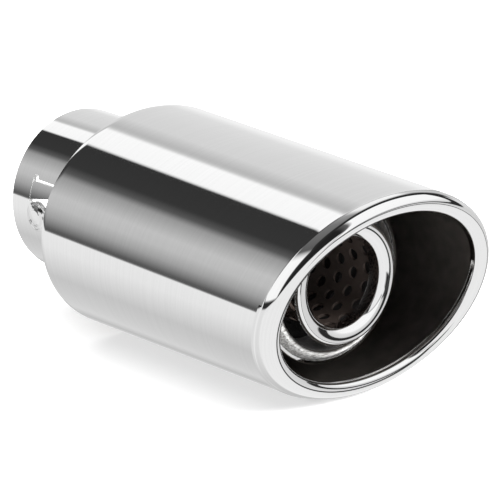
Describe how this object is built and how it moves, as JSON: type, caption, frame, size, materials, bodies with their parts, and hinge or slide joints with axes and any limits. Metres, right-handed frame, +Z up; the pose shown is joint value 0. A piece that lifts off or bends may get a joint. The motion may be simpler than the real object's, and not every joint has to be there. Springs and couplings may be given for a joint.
{
  "type": "exhaust tip",
  "caption": "Oval slant-cut exhaust tip with a rolled lip, a round inlet tube and a perforated silencer core.",
  "frame": {"origin": "centre of the inlet tube's rear end", "axes": "+X along the pipe towards the mouth, +Z up with the tip lying on the flat side of its oval"},
  "size_m": [0.1818, 0.101, 0.0834],
  "materials": {
    "polished_steel": "polished stainless steel",
    "core_steel": "dull heat-stained stainless steel",
    "weld_steel": "weld bead",
    "glass_mat": "white glass fibre mat",
    "steel_wool": "dark steel wool"
  },
  "bodies": {
    "root": {"outer_shell": "polished_steel", "rear_cap": "polished_steel", "cap_weld": "weld_steel", "inlet_tube": "polished_steel", "clamp_screw": "polished_steel", "core_collar": "core_steel", "core_pipe": "core_steel", "core_lip": "polished_steel", "steel_wool": "steel_wool", "glass_mat": "glass_mat"}
  },
  "joints": []
}
